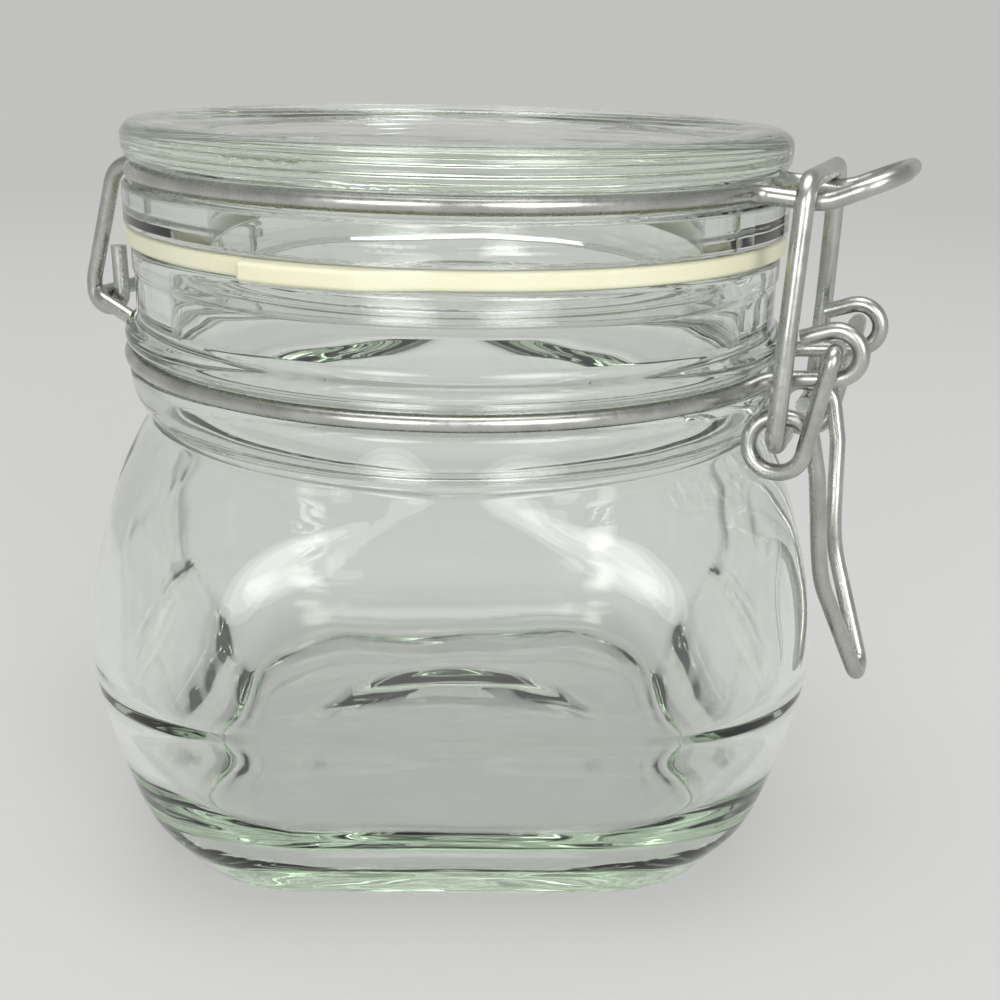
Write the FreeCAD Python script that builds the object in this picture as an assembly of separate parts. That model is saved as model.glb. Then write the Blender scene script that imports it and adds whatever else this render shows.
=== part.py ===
"""Clip-top storage jar: glass body and lid, rubber seal and four bent wires. Millimetres.

The jar's axis is Z and its base stands on Z = 0. The clamp is on the +X side and the hinge on
the -X side. Heights of the neck, lid and wires are measured from the top of the shoulder, and
their distances from the jar's axis from the wall of the neck, so both can be changed alone.
"""

import FreeCAD, Part
import math
import os

# the glass body
BODY_HALF = 50.9  # half the width across the flat sides, at the widest level
SHOULDER_TOP = 62.0  # height at which the body turns into the neck
BODY_TURN = 22.5  # degrees that the square body is turned against the clamp
FLAT_SHARE = 0.5  # corner radius over half the width, over the height of the body
GLASS_WALL = 3.1
FLOOR_Z = 7.6  # height of the inside floor
PUSH_UP_RADIUS = 29.0
PUSH_UP_HEIGHT = 3.0

# the neck
NECK_RADIUS = 47.3
NECK_WALL = 4.1
NECK_HEIGHT = 25.0  # from the shoulder to the rim
MOUTH_RADIUS = NECK_RADIUS - NECK_WALL

# the lid and its seal
SEAL_THICKNESS = 2.5
SEAL_GAP = 0.15  # between the seal and the rim below it
LID_SEAT = 0.1  # between the seal and the lid above it
LID_HEIGHT = 14.2  # flange of the lid, above the seal
LID_OVERHANG = 1.1  # flange of the lid beyond the neck wall
PLUG_CLEARANCE = 1.8  # between the lid's plug and the wall of the mouth
PLUG_DEPTH = 8.2
PLUG_WALL = 4.8
LID_THICKNESS = 6.0  # of the glass in the middle
TAB_WIDTH = 27.0
TAB_ANGLE = -84.5  # degrees round the jar from the clamp
TAB_REACH = 2.5  # beyond the flange
LID_FLANGE_RADIUS = NECK_RADIUS + LID_OVERHANG
PLUG_RADIUS = MOUTH_RADIUS - PLUG_CLEARANCE
TAB_RADIUS = LID_FLANGE_RADIUS + TAB_REACH

# the wires
NECK_WIRE_DIAMETER = 2.3
LID_WIRE_DIAMETER = 2.4
LEVER_DIAMETER = 2.3
BAIL_DIAMETER = 2.6
WIRE_CLEARANCE = 0.25  # between a wire and the glass it is wound round

NECK_WIRE_HEIGHT = 9.2  # middle of the wire above the shoulder
LID_WIRE_HEIGHT = 35.0
LID_GROOVE_RADIUS = LID_FLANGE_RADIUS - 3.05
NECK_GROOVE_RADIUS = NECK_RADIUS - 0.5

HINGE_OUT = 8.6  # hinge bar beyond the neck wall
HINGE_HEIGHT = 13.8
HINGE_HALF = 13.6  # half the length of the hinge bar, corner to corner
HOOK_HALF = 10.1  # half the distance between the two hooks
HOOK_BEND = 2.6
EYE_OUT = 11.05
EYE_HEIGHT = 14.85
EYE_HALF = 10.5
EYE_BEND = 3.25
BODY_REACH = 1.157  # distance of the handle from the jar's axis, over half the width of the glass
PIVOT_OUT = 11.0
PIVOT_HEIGHT = 15.3
LEVER_HALF = 13.1  # half the distance between the straight parts of the lever
COIL_OUT = 4.45
COIL_HEIGHT = 2.03
COIL_BEND = 3.6
FOOT_CLEARANCE = 0.35  # between the bail's foot and the coil round it
FOOT_ANGLE = 64.0  # where the foot bears on the coil, in degrees above level
BAIL_HALF = 16.05
BAIL_TOP_HEIGHT = 37.2
TONGUE_HALF = 10.4
TONGUE_OUT = 16.8

TINY = 1e-4


def V(x, y, z):
    return FreeCAD.Vector(x, y, z)


def out(distance):
    """Distance from the jar's axis of something this far beyond the neck wall."""
    return NECK_RADIUS + distance


def shoulder(share):
    """Half width of the glass between the neck at 0 and the widest level of the body at 1."""
    return NECK_RADIUS + share * (BODY_HALF - NECK_RADIUS)


# ---------------------------------------------------------------- glass


def square_section(half, share, z):
    """A closed square outline, `half` wide each way, with corners rounded by share * half."""
    corner = half * share
    straight = half - corner
    slant = straight + corner * math.sqrt(0.5)
    edges = []
    for quarter in range(4):
        turn = FreeCAD.Rotation(V(0, 0, 1), 90 * quarter)
        side_start = turn.multVec(V(half, -straight, z))
        side_end = turn.multVec(V(half, straight, z))
        middle = turn.multVec(V(slant, slant, z))
        corner_end = turn.multVec(V(straight, half, z))
        edges.append(Part.LineSegment(side_start, side_end).toShape())
        edges.append(Part.Arc(side_end, middle, corner_end).toShape())
    return Part.Wire(edges)


def turned_loft(levels):
    """A solid through rounded squares given as (height, half width, corner share)."""
    sections = [square_section(half, share, z) for z, half, share in levels]
    solid = Part.makeLoft(sections, True, False)
    solid.rotate(V(0, 0, 0), V(0, 0, 1), BODY_TURN)
    return solid


def revolved(outline):
    """Turns an outline round the jar's axis. A point is (radius, height), an arc's middle
    point stands in a list of its own, as [(radius, height)]."""
    edges = []
    start = outline[0]
    middle = None
    for item in outline[1:] + outline[:1]:
        if isinstance(item, list):
            middle = item[0]
            continue
        a = V(start[0], 0, start[1])
        b = V(item[0], 0, item[1])
        if middle is None:
            edges.append(Part.LineSegment(a, b).toShape())
        else:
            edges.append(Part.Arc(a, V(middle[0], 0, middle[1]), b).toShape())
        start = item
        middle = None
    face = Part.Face(Part.Wire(edges))
    return face.revolve(V(0, 0, 0), V(0, 0, 1), 360)


def raised(shape):
    """Lifts a shape made with heights above the shoulder to its place on the jar."""
    shape.translate(V(0, 0, SHOULDER_TOP))
    return shape


def body_outside():
    top = SHOULDER_TOP
    return turned_loft([
        (0.0, 0.800 * BODY_HALF, FLAT_SHARE),
        (0.024 * top, 0.816 * BODY_HALF, FLAT_SHARE),
        (0.065 * top, 0.849 * BODY_HALF, FLAT_SHARE),
        (0.129 * top, 0.895 * BODY_HALF, FLAT_SHARE),
        (0.226 * top, 0.932 * BODY_HALF, FLAT_SHARE),
        (0.355 * top, 0.971 * BODY_HALF, FLAT_SHARE),
        (0.516 * top, 1.000 * BODY_HALF, FLAT_SHARE),
        (0.677 * top, 0.988 * BODY_HALF, FLAT_SHARE),
        (0.800 * top, shoulder(0.5), 0.56),
        (0.900 * top, shoulder(0.22), 0.71),
        (0.960 * top, shoulder(-0.08), 0.87),
        (1.000 * top, out(-2.4), 0.97),
    ])


def body_inside():
    top = SHOULDER_TOP
    wall = GLASS_WALL
    return turned_loft([
        (FLOOR_Z, 0.720 * BODY_HALF, FLAT_SHARE),
        (FLOOR_Z + 1.2, 0.785 * BODY_HALF, FLAT_SHARE),
        (FLOOR_Z + 4.0, 0.850 * BODY_HALF, FLAT_SHARE),
        (0.300 * top, 0.955 * BODY_HALF - wall, FLAT_SHARE),
        (0.516 * top, BODY_HALF - wall, FLAT_SHARE),
        (0.677 * top, 0.988 * BODY_HALF - wall, FLAT_SHARE),
        (0.800 * top, shoulder(0.5) - wall, 0.56),
        (0.900 * top, shoulder(0.17) - wall, 0.71),
        (0.955 * top, shoulder(-0.05) - wall, 0.87),
        (1.000 * top, MOUTH_RADIUS - 0.9, 0.97),
    ])


def neck_outside():
    groove = NECK_GROOVE_RADIUS
    rim = NECK_HEIGHT
    wire = NECK_WIRE_HEIGHT
    return raised(revolved([
        (0, -5),
        (out(-1.7), -5),
        (out(-1.4), 0.3),
        [(out(0.35), 2.6)],
        (out(1.4), 6.3),
        [(out(1.25), 7.2)],
        (out(0.7), wire - 1.4),
        [(groove, wire)],
        (out(0.9), wire + 1.4),
        [(out(1.8), 11.7)],
        (out(1.0), 13.7),
        [(out(0.25), 14.4)],
        (out(0), 15.6),
        (out(0), 20.4),
        [(out(0.1), 21.0)],
        (out(0.3), 21.6),
        (out(0.3), rim - 1.1),
        [(out(-0.05), rim - 0.3)],
        (out(-0.9), rim),
        (0, rim),
    ]))


def mouth():
    rim = NECK_HEIGHT
    bore = MOUTH_RADIUS
    return raised(revolved([
        (0, -5),
        (bore, -5),
        (bore, rim - 1.3),
        [(bore + 0.4, rim - 0.35)],
        (bore + 1.3, rim),
        (bore + 1.3, rim + 1),
        (0, rim + 1),
    ]))


def push_up():
    """The shallow hollow in the underside of the base."""
    radius = PUSH_UP_RADIUS
    return revolved([
        (0, -1),
        (radius, -1),
        (radius, 0),
        [(radius * 0.62, PUSH_UP_HEIGHT * 0.75)],
        (radius * 0.15, PUSH_UP_HEIGHT),
        (0, PUSH_UP_HEIGHT),
    ])


def jar_body():
    outside = body_outside().fuse(neck_outside())
    inside = body_inside().fuse(mouth())
    return outside.cut([inside, push_up()]).removeSplitter()


def lid():
    low = NECK_HEIGHT + SEAL_GAP + SEAL_THICKNESS + LID_SEAT
    top = low + LID_HEIGHT
    flange = LID_FLANGE_RADIUS
    groove = LID_GROOVE_RADIUS
    wire = LID_WIRE_HEIGHT
    plug = PLUG_RADIUS
    bottom = low - PLUG_DEPTH
    hollow = plug - PLUG_WALL
    ceiling = top - 1.6 - LID_THICKNESS
    return raised(revolved([
        (0, top - 1.6),
        (flange - 11.5, top - 1.6),
        [(flange - 9.2, top - 1.1)],
        (flange - 6.6, top - 0.15),
        [(flange - 4.6, top)],
        (flange - 2.4, top - 0.1),
        [(flange - 0.45, top - 1.1)],
        (flange - 0.2, top - 3.0),
        [(flange - 0.35, top - 4.4)],
        (flange - 1.0, wire + 1.6),
        [(groove, wire)],
        (flange - 0.5, wire - 1.6),
        [(flange - 0.1, wire - 1.75)],
        (flange, wire - 2.2),
        (flange, low + 0.6),
        [(flange - 0.18, low + 0.18)],
        (flange - 0.6, low),
        (plug, low),
        (plug, bottom + 3.0),
        [(plug - 0.75, bottom + 0.75)],
        (plug - 2.4, bottom),
        (hollow + 1.2, bottom),
        [(hollow + 0.35, bottom + 0.35)],
        (hollow, bottom + 1.2),
        (hollow, ceiling - 2.5),
        [(hollow - 0.73, ceiling - 0.73)],
        (hollow - 2.5, ceiling),
        (0, ceiling),
    ]))


def gasket():
    low = NECK_HEIGHT + SEAL_GAP
    high = low + SEAL_THICKNESS
    inner = PLUG_RADIUS + 0.35
    outer = LID_FLANGE_RADIUS - 0.1
    edge = 0.6
    ring = revolved([
        (inner, low),
        (outer - edge, low),
        [(outer - 0.3 * edge, low + 0.3 * edge)],
        (outer, low + edge),
        (outer, high - edge),
        [(outer - 0.3 * edge, high - 0.3 * edge)],
        (outer - edge, high),
        (inner, high),
    ])
    return raised(ring.fuse(seal_tab(outer - 3, low + 0.15, high - 0.15)))


def seal_tab(start, low, high):
    """The tongue of the seal that is pulled to break the vacuum."""
    disc = Part.makeCylinder(TAB_RADIUS, high - low, V(0, 0, low))
    strip = Part.makeBox(TAB_RADIUS, TAB_WIDTH, high - low, V(start, -TAB_WIDTH / 2, low))
    tab = disc.common(strip)
    far_corners = [
        edge
        for edge in tab.Edges
        if abs(edge.BoundBox.ZLength - (high - low)) < TINY and edge.BoundBox.XMin > start + 1
    ]
    tab = tab.makeFillet(1.4, far_corners)
    tab.rotate(V(0, 0, 0), V(0, 0, 1), TAB_ANGLE)
    return tab


# ---------------------------------------------------------------- wires


def wire_path(corners, bends):
    """Straight runs between corners, with an arc of the given radius in each inner corner."""
    edges = []
    start = corners[0]
    for before, corner, after, bend in zip(corners, corners[1:], corners[2:], bends):
        back = (before - corner).normalize()
        ahead = (after - corner).normalize()
        half_turn = (math.pi - back.getAngle(ahead)) / 2
        reach = bend * math.tan(half_turn)
        inwards = (back + ahead).normalize()
        arc_start = corner + back * reach
        arc_end = corner + ahead * reach
        arc_middle = corner + inwards * (bend / math.cos(half_turn) - bend)
        if start.distanceToPoint(arc_start) > TINY:
            edges.append(Part.LineSegment(start, arc_start).toShape())
        edges.append(Part.Arc(arc_start, arc_middle, arc_end).toShape())
        start = arc_end
    edges.append(Part.LineSegment(start, corners[-1]).toShape())
    return Part.Wire(edges)


def bent_wire(half, diameter):
    """A round wire through the corners of one half and their mirror images across Y = 0. Each
    corner is (x, y, z, bend radius), and the first is the wire's cut end."""
    ahead = [V(x, y, z) for x, y, z, _ in half]
    back = [V(x, -y, z) for x, y, z, _ in reversed(half)]
    bends = [bend for _, _, _, bend in half]
    path = wire_path(ahead + back, bends[1:] + bends[:0:-1])
    start = ahead[0]
    circle = Part.makeCircle(diameter / 2, start, ahead[1] - start)
    solid = path.makePipe(Part.Face(Part.Wire(circle)))
    return raised(solid)


def ring_corner(radius, clamp_angle, hinge_angle, z):
    """The corner whose bend runs round the jar between two angles, each measured in degrees
    from its own side of the jar."""
    middle = math.radians((clamp_angle + 180 - hinge_angle) / 2)
    half_sweep = math.radians((180 - hinge_angle - clamp_angle) / 2)
    reach = radius / math.cos(half_sweep)
    return (reach * math.cos(middle), reach * math.sin(middle), z, radius)


def leaving_ring(radius, angle, side, y, z, bend):
    """A corner on the straight run that leaves the ring at this angle, where the run reaches
    the given y. The side is 1 at the clamp and -1 at the hinge."""
    turn = math.radians(angle)
    run = (radius * math.sin(turn) - y) / math.cos(turn)
    x = radius * math.cos(turn) + run * math.sin(turn)
    return (side * x, y, z, bend)


def neck_wire():
    """Ring round the neck, with an open eye at each side of the clamp and the hinge bar."""
    ring = NECK_GROOVE_RADIUS + WIRE_CLEARANCE + NECK_WIRE_DIAMETER / 2
    level = NECK_WIRE_HEIGHT
    eye_x = out(EYE_OUT)
    far_x = eye_x + EYE_BEND
    bend = EYE_BEND - 0.01
    return bent_wire(
        [
            (eye_x - 4.7, EYE_HALF, EYE_HEIGHT + 1.75, 0),
            (far_x, EYE_HALF, EYE_HEIGHT + 4.55, bend),
            (far_x, EYE_HALF, EYE_HEIGHT - 2.95, bend),
            (out(2.5), EYE_HALF, EYE_HEIGHT - 4.2, 4),
            leaving_ring(ring, 22, 1, EYE_HALF + 3, level, 5),
            ring_corner(ring, 22, 19.5, level),
            leaving_ring(ring, 19.5, -1, HINGE_HALF + 0.2, level, 3),
            (-out(HINGE_OUT), HINGE_HALF, HINGE_HEIGHT, 2.2),
        ],
        NECK_WIRE_DIAMETER,
    )


def lid_wire():
    """Ring round the lid, with the tongue at the clamp and two hooks round the hinge bar."""
    ring = LID_GROOVE_RADIUS + WIRE_CLEARANCE + LID_WIRE_DIAMETER / 2
    level = LID_WIRE_HEIGHT
    inner_x = -out(HINGE_OUT - HOOK_BEND)
    outer_x = -out(HINGE_OUT + HOOK_BEND)
    hook_low = HINGE_HEIGHT - HOOK_BEND
    bend = HOOK_BEND - 0.01
    tongue_low = level - 0.75
    return bent_wire(
        [
            (inner_x - 0.2, HOOK_HALF, HINGE_HEIGHT + 7.4, 0),
            (inner_x, HOOK_HALF, hook_low, bend),
            (outer_x, HOOK_HALF, hook_low, bend),
            (outer_x, HOOK_HALF, HINGE_HEIGHT + 1.8, 8),
            (outer_x + 5.2, HOOK_HALF, level - 1.7, 4),
            leaving_ring(ring, 16.5, -1, HOOK_HALF, level, 3),
            ring_corner(ring, 16.1, 16.5, level),
            leaving_ring(ring, 16.1, 1, TONGUE_HALF, level, 3.3),
            (out(TONGUE_OUT - 9.1), TONGUE_HALF, tongue_low, 8),
            (out(TONGUE_OUT), TONGUE_HALF, tongue_low + 3.85, 6),
        ],
        LID_WIRE_DIAMETER,
    )


def lever():
    """Handle loop with a coil in each leg, hung by its inward tips in the neck wire's eyes."""
    pivot_x = out(PIVOT_OUT)
    coil_x = out(COIL_OUT)
    coil_z = COIL_HEIGHT
    near = coil_x - COIL_BEND - 0.15
    far = coil_x + COIL_BEND - 0.35
    low = coil_z - COIL_BEND - 0.07
    high = coil_z + COIL_BEND + 0.07
    bend = COIL_BEND - 0.01
    handle_x = BODY_REACH * max(BODY_HALF, shoulder(0.5))
    return bent_wire(
        [
            (pivot_x, EYE_HALF - 1.8, PIVOT_HEIGHT, 0),
            (pivot_x, LEVER_HALF, PIVOT_HEIGHT, 1.6),
            (far, LEVER_HALF - 0.4, low, bend),
            (near, LEVER_HALF - 1.1, low, bend),
            (near, LEVER_HALF - 1.75, high, bend),
            (far + 0.6, LEVER_HALF - 2.5, high, bend),
            (out(10.0), LEVER_HALF - 3.4, coil_z - 4.2, 8),
            (handle_x - 0.7, 7.0, coil_z - 16.2, 20),
            (handle_x, 6.8, coil_z - 20.7, 14),
            (handle_x + 5.7, 2.3, coil_z - 35.9, 2.1),
        ],
        LEVER_DIAMETER,
    )


def bail():
    """Loop that is drawn down over the tongue, with its feet in the lever's coils."""
    play = COIL_BEND - LEVER_DIAMETER / 2 - BAIL_DIAMETER / 2 - FOOT_CLEARANCE
    foot_x = out(COIL_OUT) + play * math.cos(math.radians(FOOT_ANGLE))
    foot_z = COIL_HEIGHT + play * math.sin(math.radians(FOOT_ANGLE))
    return bent_wire(
        [
            (foot_x, LEVER_HALF - 4.8, foot_z, 0),
            (foot_x, BAIL_HALF, foot_z, 2.2),
            (foot_x + 0.5, BAIL_HALF - 0.2, foot_z + 14.6, 12),
            (foot_x + 1.05, BAIL_HALF - 2.2, BAIL_TOP_HEIGHT, 3.4),
        ],
        BAIL_DIAMETER,
    )


NODES = {
    "jar_body": jar_body,
    "neck_wire": neck_wire,
    "lid": lid,
    "gasket": gasket,
    "lid_wire": lid_wire,
    "lever": lever,
    "bail": bail,
}

os.makedirs("parts", exist_ok=True)
for name, make in NODES.items():
    shape = make()
    shape.exportStep(f"parts/{name}.step")
    print(name, shape.isValid(), len(shape.Solids), round(shape.Volume), shape.BoundBox)
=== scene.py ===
"""Clip-top storage jar on a pale floor: clear greenish glass, cream seal, galvanised wires."""

import math

import bpy
from mathutils import Matrix, Vector


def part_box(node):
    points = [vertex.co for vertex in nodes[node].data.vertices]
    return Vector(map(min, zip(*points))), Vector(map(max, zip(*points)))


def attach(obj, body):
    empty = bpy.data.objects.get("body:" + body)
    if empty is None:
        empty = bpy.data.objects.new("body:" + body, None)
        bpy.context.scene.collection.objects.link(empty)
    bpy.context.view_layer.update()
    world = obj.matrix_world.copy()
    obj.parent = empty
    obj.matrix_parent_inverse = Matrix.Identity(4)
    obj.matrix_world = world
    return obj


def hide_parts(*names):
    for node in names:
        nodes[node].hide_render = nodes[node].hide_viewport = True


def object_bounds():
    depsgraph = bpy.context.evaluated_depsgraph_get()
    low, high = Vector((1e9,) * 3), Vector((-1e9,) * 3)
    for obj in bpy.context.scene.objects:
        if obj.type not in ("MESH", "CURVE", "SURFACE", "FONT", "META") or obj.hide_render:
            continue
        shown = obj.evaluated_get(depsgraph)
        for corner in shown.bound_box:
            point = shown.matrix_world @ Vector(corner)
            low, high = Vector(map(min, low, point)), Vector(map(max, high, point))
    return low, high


MM = 0.001

# the camera: how it looks at the point TARGET, angles in degrees
CAMERA_AZIMUTH = 20.58
CAMERA_ELEVATION = 18.49
CAMERA_ROLL = 1.25
CAMERA_DISTANCE = 0.22333
CAMERA_LENS = 50.5  # for the 36 mm sensor
TARGET = Vector((0.00665, 0.0025, 0.04552))

# the two glasses
GLASS_BOUNCES = 12  # light turns many times inside the thick foot of the jar
GLASS_INDEX = 1.52
GLASS_COLOUR = (0.975, 0.985, 0.97, 1)
GLASS_TINT = (0.70, 0.86, 0.66, 1)  # what the depth of the glass leaves of white light
BODY_TINT_DEPTH = 13.0
LID_TINT_DEPTH = 5.0
BODY_RIPPLE = 0.016  # length of the slow waves in the glass, in metres
LID_RIPPLE = 0.02

# the studio, in metres
STAGE_FLAT = 0.9  # radius of the level floor
STAGE_RISE = 0.7  # radius and height of the curve that the floor ends in
STAGE_COLOUR = (0.66, 0.66, 0.65, 1)
LAMP_DISTANCE = 1.0
LAMP_STEP = 0.002  # between the lamps of one softbox
LAMP_SHARES = (1.0, 0.75, 0.5)  # their sizes against the whole softbox
WORLD_STRENGTH = 0.4
FLOOR_GAP = 0.0002  # between the floor and the glass, which never lie quite face to face

# the glass of the jar, in millimetres; the square body is turned against the clamp
BODY_HALF = 50.9
SHOULDER_TOP = 62.0
BODY_TURN = 22.5
NECK_RADIUS = 47.3
MOUTH_RADIUS = 43.2
NECK_WIRE_LEVEL = 71.2
PUSH_UP_RADIUS = 27.0
PUSH_UP_HEIGHT = 2.2
FLOOR_LEVEL = 5.0  # height of the inside floor at its edge
FLOOR_DOME = 0.9  # how much higher it lies in its middle
HEEL_IN = 14.0  # how far the rounded inside corner reaches over the floor
HEEL_UP = 22.0  # and up the walls
GLASS_WALL = 3.1
CORNER_SHARE = 0.50  # how much of a side each rounded corner takes up, outside
INSIDE_SHARE = 0.51  # and at the floor inside
HEEL_TOP = 0.975 * BODY_HALF - GLASS_WALL
GLASS_WAVE = 0.18  # how far the inside strays from its even shape

# the rubber seal; its tongue lies between two angles, in degrees from the clamp
SEAL_INNER = 41.75
SEAL_OUTER = 48.3
TAB_REACH = 2.5
TAB_START = -99.9
TAB_END = -70.0
TAB_CUT = 0.8  # over how many degrees its cut edge stands out
TAB_FADE = 12.0  # and over how many it runs out at the other end
SEAL_EDGE = 0.55  # rounding of the ring's outer edges
SEAL_WANDER = 0.06  # how far the ring strays from a true circle

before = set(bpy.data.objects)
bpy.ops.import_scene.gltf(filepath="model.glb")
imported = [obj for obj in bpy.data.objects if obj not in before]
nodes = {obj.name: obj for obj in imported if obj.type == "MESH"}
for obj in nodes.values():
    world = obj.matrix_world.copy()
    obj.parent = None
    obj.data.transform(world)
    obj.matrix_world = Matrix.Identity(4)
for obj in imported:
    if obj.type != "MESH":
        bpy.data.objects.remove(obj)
cad_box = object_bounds()


# ---------------------------------------------------------------- materials


class Shader:
    """A node material under construction: one Principled shader and what feeds it."""

    def __init__(self, name, **values):
        self.material = bpy.data.materials.new(name)
        self.material.use_nodes = True
        self.tree = self.material.node_tree
        self.surface = self.tree.nodes["Principled BSDF"]
        self.output = self.tree.nodes["Material Output"]
        for socket, value in values.items():
            self.surface.inputs[socket.replace("_", " ")].default_value = value
        self.place = self.tree.nodes.new("ShaderNodeTexCoord").outputs["Object"]

    def node(self, kind, links=(), **values):
        """A node with some settings, its inputs linked by name or number."""
        made = self.tree.nodes.new("ShaderNode" + kind)
        for key, value in values.items():
            setattr(made, key, value)
        for socket, source in dict(links).items():
            if isinstance(source, (int, float, tuple)):
                made.inputs[socket].default_value = source
            else:
                self.tree.links.new(source, made.inputs[socket])
        return made

    def feed(self, socket, source):
        """Links a source to one of the surface's own sockets."""
        self.tree.links.new(source, self.surface.inputs[socket])

    def noise(self, size, detail=2.0, roughness=0.5):
        """Noise from 0 to 1 with features of about this size in metres."""
        links = {"Vector": self.place, "Scale": 1 / size, "Detail": detail, "Roughness": roughness}
        return self.node("TexNoise", links).outputs[0]

    def spread(self, source, low, high, out_low, out_high):
        """Maps low..high of a value smoothly onto out_low..out_high."""
        links = {"Value": source, 1: low, 2: high, 3: out_low, 4: out_high}
        made = self.node("MapRange", links, interpolation_type="SMOOTHSTEP")
        return made.outputs[0]

    def mixed(self, share, first, second):
        """One colour turning into another as the share goes from 0 to 1."""
        links = {0: share, 6: first, 7: second}
        return self.node("Mix", links, data_type="RGBA").outputs[2]

    def maths(self, operation, *values):
        """The result of one sum on numbers or sockets."""
        return self.node("Math", dict(enumerate(values)), operation=operation).outputs[0]

    def bump(self, height, distance, under=None):
        """A bump of this height in metres, laid over another one where one is given."""
        links = {"Height": height, "Distance": distance}
        if under is not None:
            links["Normal"] = under
        return self.node("Bump", links).outputs[0]


def pressed_glass(name, ripple, tint_depth):
    """Clear soda glass with a green tint in its depth, uneven as a mould leaves it."""
    made = Shader(
        name,
        Base_Color=GLASS_COLOUR,
        Transmission_Weight=1.0,
        IOR=GLASS_INDEX,
        Specular_IOR_Level=0.5,
    )
    made.feed("Roughness", made.spread(made.noise(0.03, 2), 0.5, 0.75, 0.012, 0.04))
    made.feed("Normal", made.bump(made.noise(ripple, 1), 0.0003))
    tint = made.node("VolumeAbsorption", {"Color": GLASS_TINT, "Density": tint_depth})
    made.tree.links.new(tint.outputs[0], made.output.inputs["Volume"])
    return made.material


def seal_rubber():
    """Cream natural rubber, yellower in patches, with faint brown specks."""
    made = Shader("seal_rubber", IOR=1.5)
    patch = made.spread(made.noise(0.02, 3), 0.35, 0.7, 0.0, 1.0)
    cream = made.mixed(patch, (0.78, 0.78, 0.60, 1), (0.76, 0.74, 0.53, 1))
    speck = made.spread(made.noise(0.0008, 3), 0.66, 0.8, 0.0, 0.15)
    made.feed("Base Color", made.mixed(speck, cream, (0.55, 0.47, 0.32, 1)))
    made.feed("Roughness", made.spread(made.noise(0.004), 0.3, 0.7, 0.55, 0.7))
    made.feed("Normal", made.bump(made.noise(0.0006, 3), 0.00003))
    return made.material


def galvanised_wire():
    """Dull zinc on drawn steel wire, with bright and grey patches and fine nicks."""
    made = Shader("wire_steel", Metallic=1.0)
    patch = made.spread(made.noise(0.006, 4), 0.3, 0.7, 0.0, 1.0)
    zinc = made.mixed(patch, (0.44, 0.45, 0.42, 1), (0.56, 0.57, 0.54, 1))
    grime = made.spread(made.noise(0.0022, 3, 0.6), 0.62, 0.82, 0.0, 0.3)
    made.feed("Base Color", made.mixed(grime, zinc, (0.26, 0.25, 0.22, 1)))
    made.feed("Roughness", made.spread(made.noise(0.0015, 3), 0.3, 0.7, 0.24, 0.34))
    pits = made.bump(made.noise(0.0008, 2), 0.000008)
    made.feed("Normal", made.bump(made.noise(0.005, 1), 0.0001, pits))
    return made.material


def floor_paint():
    """Matt pale paint. Half of what the camera, the glass and the metal see of it is its plain
    colour, and half is the light that falls on it, so that it keeps a soft shadow."""
    made = Shader("floor_paint", Base_Color=STAGE_COLOUR, Roughness=0.9)
    rays = made.node("LightPath").outputs
    seen = made.maths("MAXIMUM", rays["Is Camera Ray"], rays["Is Glossy Ray"])
    seen = made.maths("MAXIMUM", seen, rays["Is Transmission Ray"])
    half = made.maths("MULTIPLY", seen, 0.5)
    glow = made.node("Emission", {"Color": STAGE_COLOUR})
    both = made.node("MixShader", {0: half, 1: made.surface.outputs[0], 2: glow.outputs[0]})
    made.tree.links.new(both.outputs[0], made.output.inputs["Surface"])
    return made.material


# ---------------------------------------------------------------- glass of the jar


def rounded_square(half, share, angle):
    """Distance from the middle to the outline of a square with rounded corners, at an angle
    from the middle of a side. A share of 1 makes it a circle."""
    from_side = abs((angle + math.pi / 4) % (math.pi / 2) - math.pi / 4)
    corner = half * share
    straight = half - corner
    if math.tan(from_side) * half <= straight:
        return half / math.cos(from_side)
    along = straight * (math.cos(from_side) + math.sin(from_side))
    return along + math.sqrt(corner**2 - straight**2 * (1 - math.sin(2 * from_side)))


def eased(levels, steps=6):
    """More levels on a smooth curve through the given ones."""
    made = []
    last = len(levels) - 1
    for k in range(last):
        p0, p1, p2, p3 = (levels[min(max(k + j, 0), last)] for j in (-1, 0, 1, 2))
        for step in range(steps):
            t = step / steps
            weights = (
                (-t + 2 * t**2 - t**3) / 2,
                (2 - 5 * t**2 + 3 * t**3) / 2,
                (t + 4 * t**2 - 3 * t**3) / 2,
                (t**3 - t**2) / 2,
            )
            made.append(tuple(
                sum(w * p[axis] for w, p in zip(weights, (p0, p1, p2, p3)))
                for axis in range(len(p1))
            ))
    return made + [levels[-1]]


def arc(start, middle, end, steps=6):
    """Points on the arc from start through middle to end, without the start."""
    (ax, ay), (bx, by), (cx, cy) = start, middle, end
    d = 2 * (ax * (by - cy) + bx * (cy - ay) + cx * (ay - by))
    a2, b2, c2 = ax**2 + ay**2, bx**2 + by**2, cx**2 + cy**2
    ox = (a2 * (by - cy) + b2 * (cy - ay) + c2 * (ay - by)) / d
    oy = (a2 * (cx - bx) + b2 * (ax - cx) + c2 * (bx - ax)) / d
    first = math.atan2(ay - oy, ax - ox)
    sweep = (math.atan2(cy - oy, cx - ox) - first) % (2 * math.pi)
    passed = (math.atan2(by - oy, bx - ox) - first) % (2 * math.pi)
    if passed > sweep:
        sweep -= 2 * math.pi
    radius = math.hypot(ax - ox, ay - oy)
    turns = [first + sweep * k / steps for k in range(1, steps + 1)]
    return [(ox + radius * math.cos(t), oy + radius * math.sin(t)) for t in turns]


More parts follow.
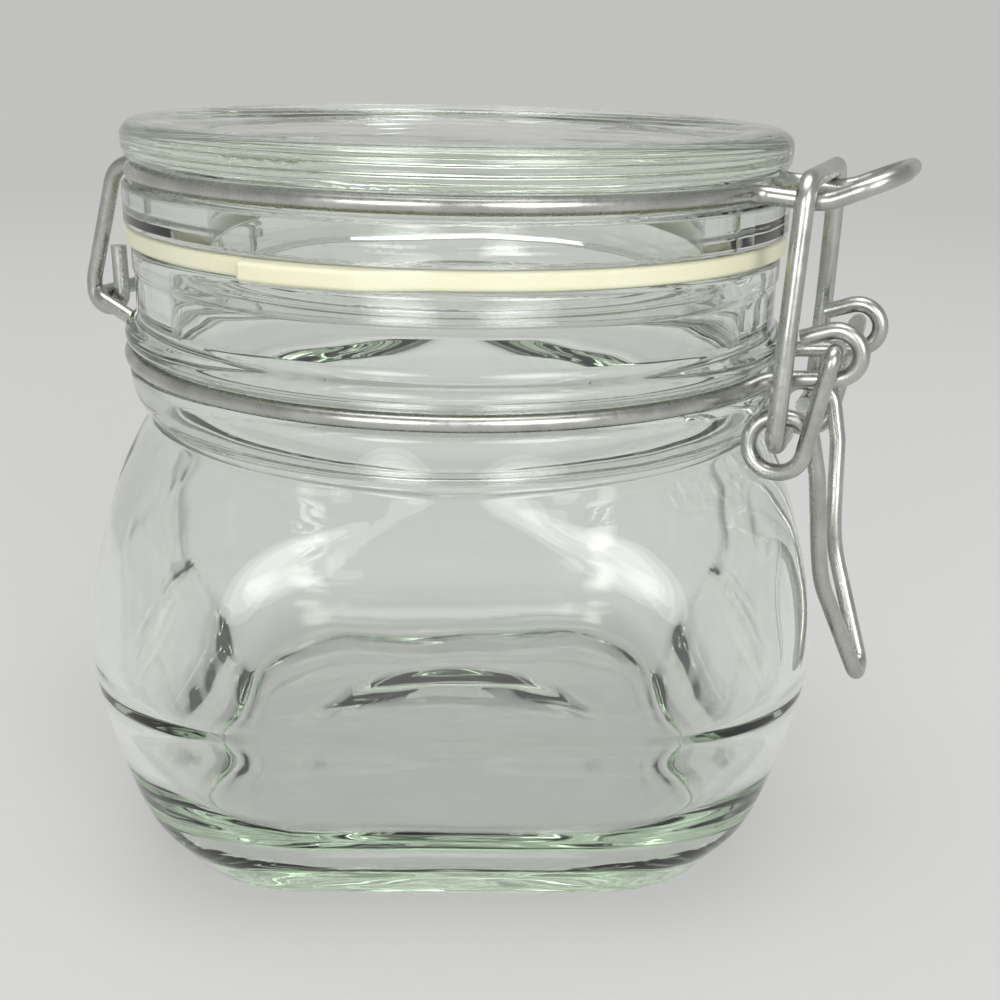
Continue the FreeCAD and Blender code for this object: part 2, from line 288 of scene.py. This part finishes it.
def outline(points):
    """An outline of (radius, height) points, with an arc where a point stands in a list."""
    made = [points[0]]
    middle = None
    for point in points[1:]:
        if isinstance(point, list):
            middle = point[0]
        elif middle is not None:
            made += arc(made[-1], middle, point)
            middle = None
        else:
            before = made[-1]
            made += [
                tuple(b + (p - b) * k / 4 for b, p in zip(before, point)) for k in range(1, 5)
            ]
    return made


def round_levels(points):
    """The levels (height, half width, corner share) of a turned outline."""
    return [(height, radius, 1.0) for radius, height in points]


def body_levels(inside):
    """Levels of the square body, each with its height, half width and corner share: from the foot
    up to the shoulder outside, or from the shoulder down to the floor inside."""
    top = SHOULDER_TOP
    wide = BODY_HALF
    neck = NECK_RADIUS
    if not inside:
        return eased([
            (0.0, 0.790 * wide, CORNER_SHARE),
            (0.4, 0.803 * wide, CORNER_SHARE),
            (0.024 * top, 0.816 * wide, CORNER_SHARE),
            (0.065 * top, 0.849 * wide, CORNER_SHARE),
            (0.129 * top, 0.895 * wide, CORNER_SHARE),
            (0.226 * top, 0.932 * wide, CORNER_SHARE),
            (0.355 * top, 0.971 * wide, CORNER_SHARE),
            (0.516 * top, 1.000 * wide, CORNER_SHARE),
            (0.677 * top, 0.988 * wide, CORNER_SHARE),
            (0.800 * top, neck + 1.8, 0.56),
            (0.900 * top, neck + 0.8, 0.71),
            (0.960 * top, neck - 0.3, 0.87),
            (0.995 * top, neck - 1.3, 0.97),
        ])
    heel = []
    for k in range(1, 9):
        turn = math.pi / 2 * k / 8
        heel.append((
            FLOOR_LEVEL + HEEL_UP * (1 - math.sin(turn)),
            HEEL_TOP - HEEL_IN * (1 - math.cos(turn)),
            INSIDE_SHARE,
        ))
    return eased([
        (0.965 * top, MOUTH_RADIUS, 1.0),
        (0.925 * top, MOUTH_RADIUS + 0.7, 0.88),
        (0.870 * top, neck + 0.6 - GLASS_WALL, 0.70),
        (0.790 * top, neck + 1.9 - GLASS_WALL, 0.56),
        (0.677 * top, 0.985 * wide - GLASS_WALL, CORNER_SHARE),
        (0.516 * top, wide - GLASS_WALL, CORNER_SHARE),
        (FLOOR_LEVEL + HEEL_UP, HEEL_TOP, CORNER_SHARE),
    ] + heel, 4)


def jar_levels():
    """The whole outline of the jar: up the outside, over the rim and down the inside."""
    top = SHOULDER_TOP
    neck = NECK_RADIUS
    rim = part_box("jar_body")[1].z / MM
    wire = NECK_WIRE_LEVEL
    under = []
    for k in range(1, 11):
        radius = PUSH_UP_RADIUS * k / 10
        under.append((PUSH_UP_HEIGHT * (1 - (k / 10) ** 2), radius, 1.0))
    foot = [
        (0.05, PUSH_UP_RADIUS + 1.5, 1.0),
        (0.0, PUSH_UP_RADIUS + 4.0, 0.88),
        (0.0, 0.70 * BODY_HALF, 0.66),
        (0.0, 0.76 * BODY_HALF, 0.54),
    ]
    # the flare over the shoulder, the wire's groove between two rings, the neck, its bead, the rim
    collar = outline([
        (neck - 1.4, top + 0.3),
        [(neck + 0.35, top + 2.6)],
        (neck + 1.4, top + 6.3),
        [(neck + 1.25, top + 7.2)],
        (neck + 0.7, wire - 1.4),
        [(neck - 0.5, wire)],
        (neck + 0.9, wire + 1.4),
        [(neck + 1.8, wire + 2.5)],
        (neck + 1.0, wire + 4.5),
        [(neck + 0.25, wire + 5.2)],
        (neck, wire + 6.4),
        (neck, rim - 4.6),
        [(neck + 0.1, rim - 4.0)],
        (neck + 0.3, rim - 3.4),
        (neck + 0.3, rim - 1.1),
        [(neck - 0.05, rim - 0.3)],
        (neck - 0.9, rim),
        (MOUTH_RADIUS + 1.3, rim),
        [(MOUTH_RADIUS + 0.4, rim - 0.35)],
        (MOUTH_RADIUS, rim - 1.3),
        (MOUTH_RADIUS, 0.968 * top),
    ])
    floor = []
    inner = HEEL_TOP - HEEL_IN
    for k in range(1, 10):
        share = INSIDE_SHARE + (1 - INSIDE_SHARE) * min(1.0, k / 6)
        dome = FLOOR_DOME * (k / 10) ** 2
        floor.append((FLOOR_LEVEL + dome, inner * (1 - k / 10), share))
    outside = under + foot + body_levels(False) + round_levels(collar)
    return outside, body_levels(True) + floor


def strayed(angle, height):
    """How unevenly the plunger left the inside of the glass, from -1 to 1."""
    # a few long waves round the jar and up it, with shares that add up to 1
    return (
        0.45 * math.sin(2 * angle + 0.7) * math.sin(height / 17 + 0.4)
        + 0.30 * math.sin(5 * angle + 2.2) * math.sin(height / 9 + 1.9)
        + 0.25 * math.sin(9 * angle + height / 8)
    )


def jar_glass(material, around=216):
    """The jar as one closed wall of glass, its inside a little uneven below the neck."""
    outside, inside = jar_levels()
    turned = math.radians(BODY_TURN)
    points = [(0, 0, PUSH_UP_HEIGHT * MM)]
    for height, half, share in outside + inside:
        is_inside = len(points) > len(outside) * around
        depth = min(1.0, max(0.0, (SHOULDER_TOP - height) / 12)) if is_inside else 0.0
        for k in range(around):
            angle = 2 * math.pi * k / around
            radius = rounded_square(half, share, angle)
            radius += GLASS_WAVE * depth * strayed(angle, height) * min(1.0, half / 20)
            place = angle + turned
            points.append((radius * math.cos(place) * MM, radius * math.sin(place) * MM, height * MM))
    points.append((0, 0, (FLOOR_LEVEL + FLOOR_DOME) * MM))
    return mesh_piece("jar_glass", points, ring_faces(len(outside + inside), around), material)


def ring_faces(rings, around):
    """Faces of a form with a point at each end and rings of points between them."""
    faces = [(0, 1 + (k + 1) % around, 1 + k) for k in range(around)]
    for ring in range(rings - 1):
        low = 1 + ring * around
        for k in range(around):
            after = (k + 1) % around
            faces.append((low + k, low + after, low + around + after, low + around + k))
    low = 1 + (rings - 1) * around
    end = 1 + rings * around
    faces += [(low + k, low + (k + 1) % around, end) for k in range(around)]
    return faces


# ---------------------------------------------------------------- seal


def tab_reach(angle):
    """How much of the seal's tongue stands out at this angle in degrees: it starts with a cut
    edge and runs out gently."""
    start = max(0.0, min(1.0, (angle - TAB_START) / TAB_CUT))
    end = max(0.0, min(1.0, (TAB_END - angle) / TAB_FADE))
    return start * end * end * (3 - 2 * end)


def seal_ring(material, around=720):
    """The rubber ring with its tongue, from one edge outline carried round the jar."""
    low, high = (corner.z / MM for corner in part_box("gasket"))
    edge = SEAL_EDGE
    sides = outline([
        (SEAL_INNER, low),
        (SEAL_OUTER - edge, low),
        [(SEAL_OUTER - 0.3 * edge, low + 0.3 * edge)],
        (SEAL_OUTER, low + edge),
        (SEAL_OUTER, (low + high) / 2),
        (SEAL_OUTER, high - edge),
        [(SEAL_OUTER - 0.3 * edge, high - 0.3 * edge)],
        (SEAL_OUTER - edge, high),
        (SEAL_INNER, high),
    ])
    points = []
    for k in range(around):
        degrees = 360 * k / around - 180
        angle = math.radians(degrees)
        for radius, height in sides:
            outer = (radius - SEAL_INNER) / (SEAL_OUTER - SEAL_INNER)
            wander = SEAL_WANDER * (math.sin(7 * angle + 0.8) - 1)
            far = radius + outer * (TAB_REACH * tab_reach(degrees) + wander)
            points.append((far * math.cos(angle) * MM, far * math.sin(angle) * MM, height * MM))
    count = len(sides)
    faces = []
    for k in range(around):
        here = k * count
        there = (k + 1) % around * count
        for j in range(count):
            after = (j + 1) % count
            faces.append((here + j, there + j, there + after, here + after))
    return mesh_piece("seal", points, faces, material)


# ---------------------------------------------------------------- studio


def direction(azimuth, elevation):
    """The way from the jar, in degrees, to where something stands; azimuth 0 is towards -Y."""
    a = math.radians(azimuth)
    e = math.radians(elevation)
    return Vector((math.sin(a) * math.cos(e), -math.cos(a) * math.cos(e), math.sin(e)))


def mesh_piece(name, points, faces, material):
    """A smooth mesh object in one material."""
    mesh = bpy.data.meshes.new(name)
    mesh.from_pydata(points, [], faces)
    mesh.materials.append(material)
    mesh.shade_smooth()
    made = bpy.data.objects.new(name, mesh)
    bpy.context.scene.collection.objects.link(made)
    return made


def dish(name, material):
    """A round floor that curves up at its rim, so that no horizon shows from any side."""
    around, steps = 96, 24
    rings = [(STAGE_FLAT * k / 4, 0.0) for k in range(1, 5)]
    for k in range(1, steps + 1):
        turn = math.pi / 2 * k / steps
        rings.append((
            STAGE_FLAT + STAGE_RISE * math.sin(turn),
            STAGE_RISE * (1 - math.cos(turn)),
        ))
    points = [(0, 0, -FLOOR_GAP)]
    for radius, height in rings:
        for k in range(around):
            turn = 2 * math.pi * k / around
            level = height - FLOOR_GAP
            points.append((radius * math.cos(turn), radius * math.sin(turn), level))
    faces = [(0, 1 + k, 1 + (k + 1) % around) for k in range(around)]
    for ring in range(len(rings) - 1):
        low = 1 + ring * around
        for k in range(around):
            after = (k + 1) % around
            faces.append((low + k, low + around + k, low + around + after, low + after))
    return mesh_piece(name, points, faces, material)


def softbox(name, azimuth, elevation, width, height, brightness):
    """Oval lamps nested in one another, which together fade towards their edge. Brightness is
    what they show in a mirror, in their middle."""
    away = direction(azimuth, elevation)
    middle = Vector((0, 0, cad_box[1].z / 2))
    for k, share in enumerate(LAMP_SHARES):
        lamp = bpy.data.lights.new(f"{name}_{k}", "AREA")
        lamp.shape = "ELLIPSE"
        lamp.size = width * share
        lamp.size_y = height * share
        area = lamp.size * lamp.size_y * math.pi / 4
        lamp.energy = brightness / len(LAMP_SHARES) * math.pi * area
        made = bpy.data.objects.new(lamp.name, lamp)
        made.location = middle + away * (LAMP_DISTANCE - LAMP_STEP * k)
        made.rotation_euler = away.to_track_quat("Z", "Y").to_euler()
        made.visible_camera = False
        bpy.context.scene.collection.objects.link(made)


def studio_world(strength):
    """Even white light from all round."""
    world = bpy.data.worlds.new("studio")
    world.use_nodes = True
    light = world.node_tree.nodes["Background"]
    light.inputs["Color"].default_value = (1, 1, 1, 1)
    light.inputs["Strength"].default_value = strength
    bpy.context.scene.world = world


def camera():
    """The camera at the photograph's viewing angle."""
    lens = bpy.data.cameras.new("camera")
    lens.lens = CAMERA_LENS
    lens.sensor_width = 36
    lens.clip_start = 0.01
    made = bpy.data.objects.new("camera", lens)
    back = direction(CAMERA_AZIMUTH, CAMERA_ELEVATION)
    level = back.to_track_quat("Z", "Y").to_matrix().to_4x4()
    roll = Matrix.Rotation(math.radians(CAMERA_ROLL), 4, "Z")
    made.matrix_world = Matrix.Translation(TARGET + back * CAMERA_DISTANCE) @ level @ roll
    bpy.context.scene.collection.objects.link(made)
    bpy.context.scene.camera = made


# ---------------------------------------------------------------- the scene

MATERIALS = {
    "body_glass": pressed_glass("body_glass", BODY_RIPPLE, BODY_TINT_DEPTH),
    "lid_glass": pressed_glass("lid_glass", LID_RIPPLE, LID_TINT_DEPTH),
    "seal_rubber": seal_rubber(),
    "wire_steel": galvanised_wire(),
}
for part in nodes.values():
    for place in part.material_slots:
        place.material = MATERIALS[place.material.name.split(".")[0]]

for make, body, node, slot in (
    (jar_glass, "jar", "jar_body", "body_glass"),
    (seal_ring, "lid_set", "gasket", "seal_rubber"),
):
    piece = make(MATERIALS[slot])
    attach(piece, body)
    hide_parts(node)

dish("floor", floor_paint())
# each with its azimuth, elevation, width, height and brightness
softbox("ceiling", 0, 86, 1.1, 0.9, 4.0)
softbox("left_window", 0, 15, 0.5, 0.62, 6.0)
softbox("right_window", 47, 21, 0.6, 0.75, 6.0)
studio_world(WORLD_STRENGTH)
camera()
bpy.context.scene.view_settings.view_transform = "Standard"
paths = bpy.context.scene.cycles
paths.max_bounces = GLASS_BOUNCES
paths.transmission_bounces = GLASS_BOUNCES
paths.glossy_bounces = GLASS_BOUNCES
